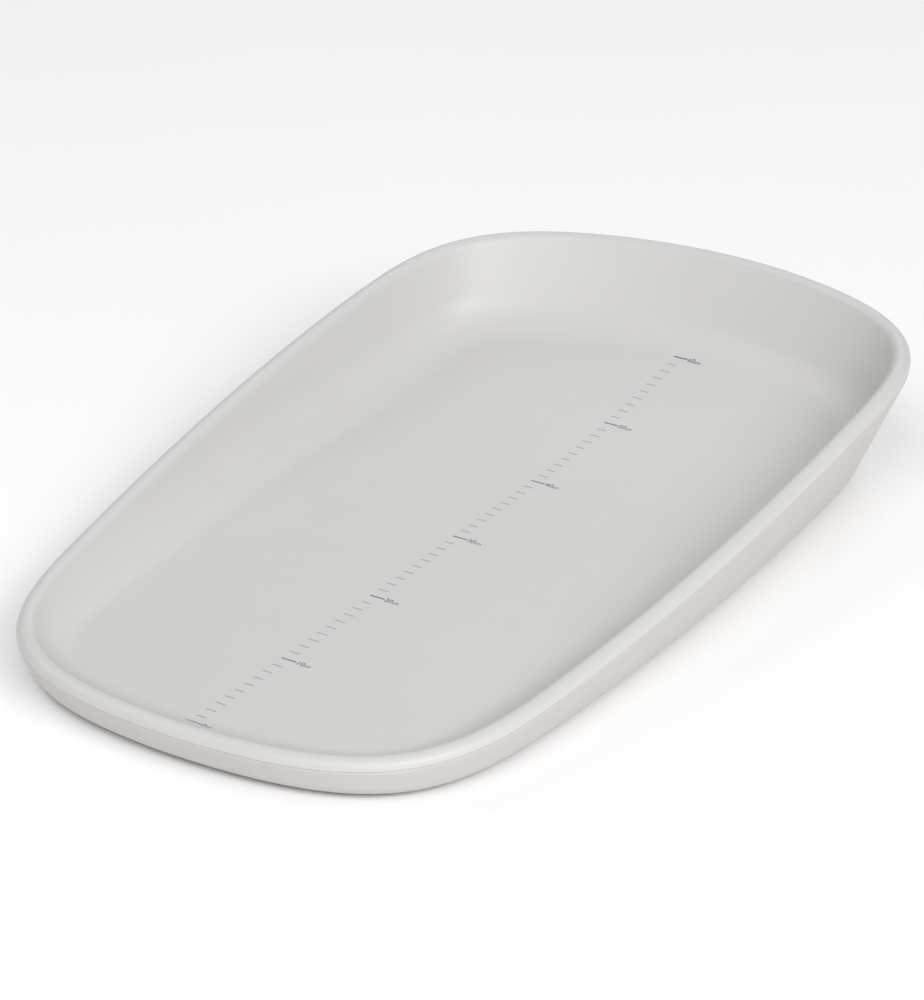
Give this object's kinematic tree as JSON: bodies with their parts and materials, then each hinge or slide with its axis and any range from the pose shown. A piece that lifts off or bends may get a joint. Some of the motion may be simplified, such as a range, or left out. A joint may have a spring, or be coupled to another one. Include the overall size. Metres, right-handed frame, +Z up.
{
  "type": "changing mat",
  "caption": "Shallow moulded foam tray for changing a baby, with a rolled rim that rises from the foot end to the head end, a printed centimetre ruler along the middle and pads underneath.",
  "frame": {"origin": "middle of the mat's bounding box in plan, at the height of the surface that it lies on", "axes": "+Y towards the high head end, which the ruler counts up to; +Z up out of the basin; +X to the right of someone who reads the ruler's numbers"},
  "size_m": [0.416, 0.692, 0.0964],
  "materials": {
    "foam": "soft open-cell polyurethane foam, sealed inside the skins",
    "skin": "seamless polyurethane skin, very fine satin grain, off-white",
    "underside": "polyurethane skin, matt, off-white",
    "rubber": "matt light grey elastomer",
    "ink": "printed dark grey ink"
  },
  "bodies": {
    "root": {"foam_core": "foam", "upper_skin": "skin", "lower_skin": "underside", "anti_slip_pad_foot_left": "rubber", "anti_slip_pad_foot_right": "rubber", "anti_slip_pad_head_left": "rubber", "anti_slip_pad_head_right": "rubber", "ruler_mark_00cm": "ink", "ruler_mark_10cm": "ink", "ruler_mark_20cm": "ink", "ruler_mark_30cm": "ink", "ruler_mark_40cm": "ink", "ruler_mark_50cm": "ink", "ruler_mark_60cm": "ink"}
  },
  "joints": []
}
